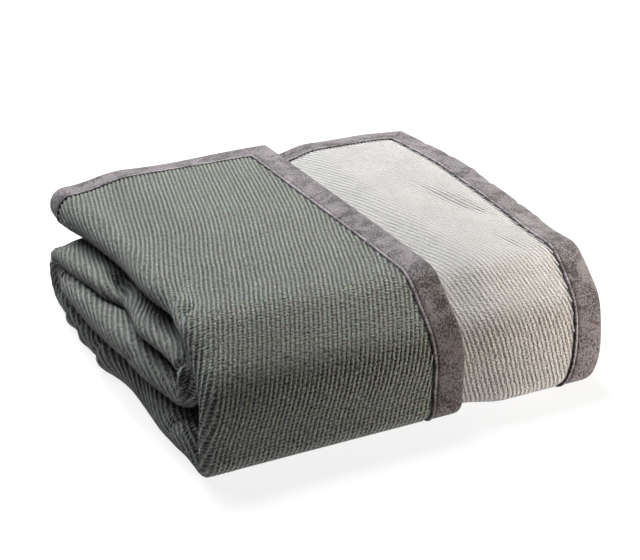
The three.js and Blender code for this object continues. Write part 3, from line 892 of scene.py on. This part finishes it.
def knit_material(face, part, settings, colors):
    """Ribbed knit: slanted ribs, grooves with a hole at each row, painted shade in the grooves and
    holes, a painted highlight on each loop, and heathered yarn.
    """
    look = KNITS[face]
    # The second colour is painted shade between the ribs
    rib_color, groove_shade_color = getattr(colors, face), getattr(colors, face + "_painted_shade")
    material, tree, shader = fabric_material(f"{face}_{part}_knit", roughness=0.92, sheen=0.3)
    uv = cloth_map(tree)
    place = add_node(tree, "ShaderNodeSeparateXYZ", {"Vector": uv}).outputs
    jitter = math_node(tree, "SUBTRACT", noise_node(tree, uv, JITTER_SIZE, detail=1.0), 0.5)
    rib_turn = math_node(tree, "DIVIDE", place["X"], settings.rib_pitch)
    rib_turn = weighted_sum(tree, rib_turn, (jitter, RIB_JITTER))
    row_turn = math_node(tree, "DIVIDE", place["Y"], settings.row_pitch)
    row_turn = weighted_sum(tree, row_turn, (jitter, ROW_JITTER))
    rib = wave(tree, rib_turn)
    odd = math_node(tree, "MODULO", math_node(tree, "ROUND", rib_turn), 2.0)
    loop = wave(tree, weighted_sum(tree, row_turn, (odd, 0.5)))
    bead = math_node(tree, "MULTIPLY", loop, rib)
    groove = math_node(tree, "POWER", math_node(tree, "SUBTRACT", 1.0, rib), GROOVE_SHARPNESS)
    hole = math_node(tree, "MULTIPLY", wave(tree, row_turn), groove)
    yarn = noise_node(tree, uv, YARN_SIZE, roughness=0.75)
    fleck = math_node(tree, "SUBTRACT", noise_node(tree, uv, FLECK_SIZE, roughness=0.8), 0.5)
    plain = rib if part == "face" else 0.0
    height = weighted_sum(tree, plain, (bead, BEAD_LIFT), (hole, HOLE_LIFT), (yarn, YARN_LIFT))
    # Painted shade in the grooves and holes, a painted highlight on each loop, and the yarn's own
    # flecks
    details = (groove, PAINTED_GROOVE_SHADE), (hole, PAINTED_HOLE_SHADE), (bead, PAINTED_BEAD_HIGHLIGHT), (fleck, look["heather"])
    light = weighted_sum(tree, KNIT_LIGHT, *details)
    knit = mix_colors(tree, light, groove_shade_color, rib_color)
    patch = noise_node(tree, uv, PATCH_SIZE, detail=3.0)
    tone = math_node(tree, "MULTIPLY_ADD", patch, PATCH_CONTRAST, 1 - PATCH_CONTRAST / 2)
    knit = scaled_color(tree, knit, tone)
    specks = noise_node(tree, uv, SPECK_SIZE, detail=1.0, output="Color")
    inputs = {0: specks, 1: (look["tint"],) * 3, 2: (1 - look["tint"] / 2,) * 3}
    tint = out_of(tree, "ShaderNodeVectorMath", inputs, operation="MULTIPLY_ADD")
    dyed = out_of(tree, "ShaderNodeVectorMath", {0: knit, 1: tint}, operation="MULTIPLY")
    set_surface(tree, shader, dyed, height, settings.rib_height * look["depth"])
    return material


# Plush: size of its brushed patches and of its fuzz in metres, their contrast, and the depth of
# its bump. Then the lines painted along it: painted shade in the stitched groove, a painted
# contact shadow at the binding's inner border and a painted highlight on the bead; for each its
# inset in millimetres, how much lighter the plush is painted there, and how far that reaches in
# metres.
NAP_SIZE = 0.034
NAP_LEVEL = -1.05
NAP_CONTRAST = 3.2
FUZZ_SIZE = 0.0026
FUZZ_CONTRAST = 5.0
NAP_LIFT = 1.5
PLUSH_DEPTH = 0.0014
PAINTED_PLUSH_LINES = (
    (SEAM_INSET, -0.7, 0.0014),
    (BINDING_WIDTH, -0.6, 0.0012),
    (BEAD_CENTRE, 1.0, 0.0022),
)


def plush_material(colors):
    """Short plush with soft patches where the nap lies another way, painted shade along its stitched
    groove and its inner border, and a painted highlight on its bead.
    """
    material, tree, shader = fabric_material("mottled_plush", roughness=0.95, sheen=0.12)
    uv = cloth_map(tree)
    brushed = noise_node(tree, uv, NAP_SIZE, detail=3.0, roughness=0.55, distortion=1.2)
    fuzz = noise_node(tree, uv, FUZZ_SIZE, roughness=0.8)
    frayed = math_node(tree, "SUBTRACT", fuzz, 0.5)
    patch = weighted_sum(tree, NAP_LEVEL, (brushed, NAP_CONTRAST), (frayed, FUZZ_CONTRAST))
    nap = mix_colors(tree, patch, colors.plush_dark, colors.plush)
    inset = out_of(tree, "ShaderNodeAttribute", output="Fac", attribute_name="inset")
    # Painted shade at the stitched groove and the inner border, painted highlight on the bead
    lines = [(near_line(tree, inset, at * MM, reach), share) for at, share, reach in PAINTED_PLUSH_LINES]
    lit = scaled_color(tree, nap, weighted_sum(tree, 1.0, *lines))
    height = weighted_sum(tree, fuzz, (brushed, NAP_LIFT))
    set_surface(tree, shader, lit, height, PLUSH_DEPTH)
    return material


def new_line_tree(name, sizes):
    """Geometry tree that works along lines of edges: the tree, its inputs and those lines."""
    tree = bpy.data.node_groups.new(name, "GeometryNodeTree")
    tree.interface.new_socket("Geometry", in_out="INPUT", socket_type="NodeSocketGeometry")
    for size in sizes:
        tree.interface.new_socket(size, in_out="INPUT", socket_type="NodeSocketFloat")
    tree.interface.new_socket("Geometry", in_out="OUTPUT", socket_type="NodeSocketGeometry")
    given = tree.nodes.new("NodeGroupInput").outputs
    return tree, given, out_of(tree, "GeometryNodeMeshToCurve", {"Mesh": given["Geometry"]})


def finish_tree(tree, shape, material):
    """End of a geometry tree, where its shape becomes real, smooth and coloured."""
    solid = out_of(tree, "GeometryNodeRealizeInstances", {"Geometry": shape})
    smooth = out_of(tree, "GeometryNodeSetShadeSmooth", {"Geometry": solid})
    inputs = {"Geometry": smooth, "Material": material}
    add_node(tree, "NodeGroupOutput", {"Geometry": out_of(tree, "GeometryNodeSetMaterial", inputs)})
    return tree


def stitch_tree(thread):
    """Geometry nodes that set one stitch after another along lines of edges."""
    tree, given, lines = new_line_tree("stitches_along_lines", ("Spacing", "Length", "Thickness"))
    inputs = {"Curve": lines, "Length": given["Spacing"]}
    even = out_of(tree, "GeometryNodeResampleCurve", inputs, mode="LENGTH")
    ball = out_of(tree, "GeometryNodeMeshUVSphere", {"Segments": 6, "Rings": 4, "Radius": 0.5})
    inputs = {"X": given["Length"], "Y": given["Thickness"], "Z": given["Thickness"]}
    size = out_of(tree, "ShaderNodeCombineXYZ", inputs)
    tangent = out_of(tree, "GeometryNodeInputTangent")
    turn = out_of(tree, "FunctionNodeAlignRotationToVector", {"Vector": tangent}, axis="X")
    inputs = {"Points": even, "Instance": ball, "Rotation": turn, "Scale": size}
    return finish_tree(tree, out_of(tree, "GeometryNodeInstanceOnPoints", inputs), thread)


def named_vector(tree, name):
    """A vector attribute of the lines."""
    kind = "GeometryNodeInputNamedAttribute"
    return out_of(tree, kind, {"Name": name}, "Attribute", data_type="FLOAT_VECTOR")


def rib_tree(knit):
    """Geometry nodes that sweep a round rib along lines of edges, facing out of the cloth."""
    tree, given, lines = new_line_tree("ribs_along_lines", ("Width", "Rise"))
    inputs = {"Curve": lines, "Normal": named_vector(tree, "facing")}
    turned = out_of(tree, "GeometryNodeSetCurveNormal", inputs, mode="FREE")
    ring = out_of(tree, "GeometryNodeCurvePrimitiveCircle", {"Resolution": 5, "Radius": 1.0})
    half_width = math_node(tree, "MULTIPLY", given["Width"], 0.5)
    size = out_of(tree, "ShaderNodeCombineXYZ", {"X": given["Rise"], "Y": half_width, "Z": 1.0})
    profile = out_of(tree, "GeometryNodeTransform", {"Geometry": ring, "Scale": size})
    kept = add_node(tree, "GeometryNodeCaptureAttribute", {"Geometry": profile})
    kept.capture_items.new("VECTOR", "Spot")
    tree.links.new(out_of(tree, "GeometryNodeInputPosition"), kept.inputs["Spot"])
    inputs = {"Curve": turned, "Profile Curve": kept.outputs["Geometry"], "Fill Caps": True}
    swept = out_of(tree, "GeometryNodeCurveToMesh", inputs)
    # The profile's sideways place shifts the cloth map across the rib, so the knit's painted groove
    # shade falls on the rib's sides
    aside = out_of(tree, "ShaderNodeSeparateXYZ", {"Vector": kept.outputs["Spot"]}, "Y")
    shift = out_of(tree, "ShaderNodeCombineXYZ", {"X": aside})
    inputs = {0: named_vector(tree, "flat_place"), 1: shift}
    place = out_of(tree, "ShaderNodeVectorMath", inputs, operation="ADD")
    inputs = {"Geometry": swept, "Value": place, "Name": "cloth"}
    settings = {"data_type": "FLOAT2", "domain": "CORNER"}
    mapped = out_of(tree, "GeometryNodeStoreNamedAttribute", inputs, **settings)
    return finish_tree(tree, mapped, knit)


def line_mesh(name, lines):
    """Mesh of edges along lines of points, in metres about the bundle's middle."""
    points, edges = [], []
    for line in lines:
        first = len(points)
        points.extend(((line - [CENTRE_X, CENTRE_Y, 0.0]) * MM).tolist())
        edges.extend((first + k, first + k + 1) for k in range(len(line) - 1))
    mesh = bpy.data.meshes.new(name)
    mesh.from_pydata(points, edges, [])
    return mesh


def applied_nodes(name, source, tree, values):
    """Plain mesh object made by a geometry tree from a source mesh."""
    draft = put_in_scene(name + "_draft", source)
    modifier = draft.modifiers.new("nodes", "NODES")
    modifier.node_group = tree
    for item in tree.interface.items_tree:
        if item.in_out == "INPUT" and item.name in values:
            modifier[item.identifier] = values[item.name]
    view = bpy.context.evaluated_depsgraph_get()
    mesh = bpy.data.meshes.new_from_object(draft.evaluated_get(view))
    mesh.name = name
    bpy.data.objects.remove(draft)
    return put_in_scene(name, mesh)


class ThrowSettings(bpy.types.PropertyGroup):
    """Knit and stitching of the throw."""

    rib_pitch: FloatProperty(
        name="Rib pitch", description="From one rib to the next", default=0.0052, unit="LENGTH"
    )
    row_pitch: FloatProperty(
        name="Row pitch", description="From one knitted row to the next", default=0.0034, unit="LENGTH"
    )
    rib_height: FloatProperty(
        name="Rib height", description="Depth of the knit's bump", default=0.0016, unit="LENGTH"
    )
    rib_width: FloatProperty(
        name="Rib width", description="Width of a raised rib", default=0.0038, unit="LENGTH"
    )
    rib_rise: FloatProperty(
        name="Rib rise", description="Half-height of a full raised rib", default=0.0010, unit="LENGTH"
    )
    stitch_spacing: FloatProperty(
        name="Stitch spacing", description="From one stitch to the next", default=0.0038, unit="LENGTH"
    )
    stitch_length: FloatProperty(
        name="Stitch length", description="Length of one stitch", default=0.0029, unit="LENGTH"
    )
    thread_thickness: FloatProperty(
        name="Thread thickness", description="Across the sewing thread", default=0.0008, unit="LENGTH"
    )


class ThrowColors(bpy.types.PropertyGroup):
    """Colours of the cloth, the painted shade between its ribs, its binding and the stage."""

    green: FloatVectorProperty(
        name="Green rib", description="Green face", subtype="COLOR", default=(0.412, 0.429, 0.373)
    )
    # Painted shade between the green face's ribs
    green_painted_shade: FloatVectorProperty(
        name="Green groove",
        description="Green face, between its ribs",
        subtype="COLOR",
        default=(0.052, 0.055, 0.046),
    )
    cream: FloatVectorProperty(
        name="Cream rib", description="Cream face", subtype="COLOR", default=(0.60, 0.578, 0.578)
    )
    # Painted shade between the cream face's ribs
    cream_painted_shade: FloatVectorProperty(
        name="Cream groove",
        description="Cream face, between its ribs",
        subtype="COLOR",
        default=(0.51, 0.472, 0.442),
    )
    plush: FloatVectorProperty(
        name="Plush", description="Pale nap", subtype="COLOR", default=(0.192, 0.169, 0.177)
    )
    plush_dark: FloatVectorProperty(
        name="Dark plush", description="Dark nap", subtype="COLOR", default=(0.040, 0.034, 0.035)
    )
    thread: FloatVectorProperty(
        name="Thread", description="Sewing thread", subtype="COLOR", default=(0.25, 0.225, 0.23)
    )
    floor: FloatVectorProperty(
        name="Floor", description="Pale floor of the stage", subtype="COLOR", default=(0.2, 0.2, 0.2)
    )


class StageSettings(bpy.types.PropertyGroup):
    """Lens of the camera and strength of the lights."""

    lens: FloatProperty(
        name="Lens", description="Focal length", default=78.2, min=10, max=300, unit="CAMERA"
    )
    overhead: FloatProperty(
        name="Overhead", description="Soft light overhead", default=132.0, unit="POWER"
    )
    front_fill: FloatProperty(
        name="Front fill", description="Warm light from the front", default=2.75, unit="POWER"
    )
    back_left: FloatProperty(
        name="Back left", description="Cool light from the back", default=47.0, unit="POWER"
    )
    floor_bounce: FloatProperty(
        name="Floor bounce", description="Light off the floor", default=34.0, unit="POWER"
    )
    world: FloatProperty(name="Surroundings", description="Brightness all round", default=0.03)
    floor_glow: FloatProperty(name="Floor glow", description="Light of the floor itself", default=0.85)


class BuildFaces(bpy.types.Operator):
    """Build the green and the cream face of the cloth"""

    bl_idname = "throw.build_faces"
    bl_label = "Knitted faces"

    def execute(self, context):
        settings = context.scene.throw_settings
        colors = context.scene.throw_colors
        for face, look in KNITS.items():
            material = knit_material(face, "face", settings, colors)
            piece = build_face(face + "_face", look["side"], material)
            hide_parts(face + "_panel")
            flat_size()
        return {"FINISHED"}


class BuildRibs(bpy.types.Operator):
    """Raise the knit's ribs where the cloth shows"""

    bl_idname = "throw.build_ribs"
    bl_label = "Raised ribs"

    def execute(self, context):
        settings = context.scene.throw_settings
        colors = context.scene.throw_colors
        for face, look in KNITS.items():
            points, normals, places = zip(*rib_lines(face, settings.rib_pitch / MM))
            source = line_mesh(face + "_rib_lines", points)
            places = np.concatenate(places) * MM
            places = np.concatenate([places, np.zeros((len(places), 1))], axis=1)
            for name, values in (("facing", np.concatenate(normals)), ("flat_place", places)):
                layer = source.attributes.new(name, "FLOAT_VECTOR", "POINT")
                layer.data.foreach_set("vector", values.ravel())
            tree = rib_tree(knit_material(face, "ribs", settings, colors))
            sizes = {"Width": settings.rib_width, "Rise": settings.rib_rise * look["rise"]}
            riding(applied_nodes(face + "_ribs", source, tree, sizes))
        return {"FINISHED"}


class BuildBindings(bpy.types.Operator):
    """Build the four strips of plush binding"""

    bl_idname = "throw.build_bindings"
    bl_label = "Plush binding"

    def execute(self, context):
        plush = plush_material(context.scene.throw_colors)
        across, along = flat_size()
        strips = {
            "binding_long_flap": (build_long_binding("long_flap_binding", from_edge1, plush), along),
            "binding_long_outer": (build_long_binding("long_outer_binding", from_edge2, plush), along),
            "binding_end_top": (build_end_binding("end_top_binding", True, plush), across),
            "binding_end_inner": (build_end_binding("end_inner_binding", False, plush), across),
        }
        for node, (piece, length) in strips.items():
            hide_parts(node)
        return {"FINISHED"}


class BuildStitching(bpy.types.Operator):
    """Sew the binding along its inner edges"""

    bl_idname = "throw.build_stitching"
    bl_label = "Binding stitches"

    def execute(self, context):
        settings = context.scene.throw_settings
        thread, _tree, shader = fabric_material("sewing_thread", roughness=0.8, sheen=0.1)
        shader.inputs["Base Color"].default_value = (*context.scene.throw_colors.thread, 1)
        sizes = {
            "Spacing": settings.stitch_spacing,
            "Length": settings.stitch_length,
            "Thickness": settings.thread_thickness,
        }
        source = line_mesh("seam_lines", seam_lines())
        piece = applied_nodes("binding_stitches", source, stitch_tree(thread), sizes)
        riding(piece)
        return {"FINISHED"}


# Stage, in metres. Soft lights: place, size, colour, spread in degrees and the point they face
BUNDLE_MIDDLE = (0, 0, 0.07)
LIGHTS = {
    "overhead": ((0.3, 1.6, 1.9), 1.2, (0.97, 1.0, 0.98), 180.0, BUNDLE_MIDDLE),
    "front_fill": ((0.75, -0.7, 0.18), 0.5, (1.0, 0.92, 0.80), 60.0, (0.33, -0.1, 0.07)),
    "back_left": ((-0.6, 1.6, 1.9), 1.2, (0.86, 0.89, 1.0), 180.0, BUNDLE_MIDDLE),
    "floor_bounce": ((0, 0, 0.0006), 4.0, (0.95, 0.95, 1.0), 180.0, BUNDLE_MIDDLE),
}
FLOOR_SIZE = 36.0
WALL_HEIGHT = 20.0

# Camera, in millimetres
AIM = (-CENTRE_X, -CENTRE_Y, 70.0)
CAMERA_DISTANCE = 1600.0
CAMERA_AZIMUTH = math.radians(-26.2)
CAMERA_ELEVATION = math.radians(25.0)


class BuildStage(bpy.types.Operator):
    """Set up the floor, the soft lights and the camera"""

    bl_idname = "throw.build_stage"
    bl_label = "Stage"

    def execute(self, context):
        scene = context.scene
        stage = scene.stage_settings
        build_floor(scene.throw_colors.floor, stage.floor_glow)
        for name, (place, size, color, spread, aim) in LIGHTS.items():
            add_soft_light(name, getattr(stage, name), place, size, color, spread, aim)
        world = bpy.data.worlds.new("surroundings")
        world.use_nodes = True
        background = world.node_tree.nodes["Background"]
        background.inputs["Color"].default_value = (1, 1, 1, 1)
        background.inputs["Strength"].default_value = stage.world
        scene.world = world
        scene.view_settings.view_transform = "Standard"
        scene.view_settings.look = "None"
        add_camera(stage.lens)
        return {"FINISHED"}


def build_floor(color, glow):
    """Pale floor, and pale walls far round it that only the camera sees."""
    material, _tree, shader = new_material("pale_floor", roughness=0.9, specular=0.1)
    shader.inputs["Base Color"].default_value = (*color, 1)
    shader.inputs["Emission Color"].default_value = (1, 1, 1, 1)
    shader.inputs["Emission Strength"].default_value = glow
    half = FLOOR_SIZE / 2
    corners = [(-half, -half), (half, -half), (half, half), (-half, half)]
    points = [(x, y, z) for z in (0, WALL_HEIGHT) for x, y in corners]
    walls = [(k, k + 4, (k + 1) % 4 + 4, (k + 1) % 4) for k in range(4)]
    add_stage_piece("floor", points[:4], [(0, 1, 2, 3)], material)
    backdrop = add_stage_piece("backdrop", points, walls, material)
    backdrop.visible_glossy = False
    backdrop.visible_shadow = False


def add_stage_piece(name, points, faces, material):
    """Piece of the stage that throws no light of its own on the throw's matt surfaces."""
    mesh = bpy.data.meshes.new(name)
    mesh.from_pydata(points, [], faces)
    mesh.materials.append(material)
    piece = put_in_scene(name, mesh)
    piece.visible_diffuse = False
    return piece


def add_soft_light(name, power, place, size, color, spread, aim):
    """Square area light."""
    light = bpy.data.lights.new(name, "AREA")
    light.shape = "SQUARE"
    light.size = size
    light.energy = power
    light.color = color
    light.spread = math.radians(spread)
    lamp = put_in_scene(name, light)
    lamp.location = place
    lamp.rotation_euler = (Vector(aim) - Vector(place)).to_track_quat("-Z", "Y").to_euler()
    lamp.visible_camera = False


def add_camera(lens):
    """Camera at the photo's angle: turned left of the front and above the bundle."""
    level = math.cos(CAMERA_ELEVATION)
    back = Vector(
        (
            math.sin(CAMERA_AZIMUTH) * level,
            -math.cos(CAMERA_AZIMUTH) * level,
            math.sin(CAMERA_ELEVATION),
        )
    )
    data = bpy.data.cameras.new("camera")
    data.lens = lens
    data.sensor_width = 36
    data.sensor_fit = "HORIZONTAL"
    data.clip_start = 0.01
    data.clip_end = 50
    camera = put_in_scene("camera", data)
    camera.location = (Vector(AIM) + back * CAMERA_DISTANCE) * MM
    camera.rotation_euler = (-back).to_track_quat("-Z", "Y").to_euler()
    bpy.context.scene.camera = camera


class ThrowPanel(bpy.types.Panel):
    """Lists the throw's pieces and settings"""

    bl_idname = "VIEW3D_PT_throw"
    bl_label = "Sofa throw"
    bl_space_type = "VIEW_3D"
    bl_region_type = "UI"
    bl_category = "Throw"

    def draw(self, context):
        layout = self.layout
        for operator in OPERATORS:
            layout.operator(operator.bl_idname)
        scene = context.scene
        for group in (scene.throw_settings, scene.throw_colors, scene.stage_settings):
            box = layout.box()
            for name in group.__annotations__:
                box.prop(group, name)


OPERATORS = (BuildFaces, BuildRibs, BuildBindings, BuildStitching, BuildStage)
CLASSES = (ThrowSettings, ThrowColors, StageSettings, *OPERATORS, ThrowPanel)


def register():
    for item in CLASSES:
        bpy.utils.register_class(item)
    bpy.types.Scene.throw_settings = PointerProperty(type=ThrowSettings)
    bpy.types.Scene.throw_colors = PointerProperty(type=ThrowColors)
    bpy.types.Scene.stage_settings = PointerProperty(type=StageSettings)


def unregister():
    del bpy.types.Scene.stage_settings
    del bpy.types.Scene.throw_colors
    del bpy.types.Scene.throw_settings
    for item in reversed(CLASSES):
        bpy.utils.unregister_class(item)


def main():
    register()
    bpy.ops.throw.build_faces()
    bpy.ops.throw.build_ribs()
    bpy.ops.throw.build_bindings()
    bpy.ops.throw.build_stitching()
    bpy.ops.throw.build_stage()


if __name__ == "__main__":
    main()
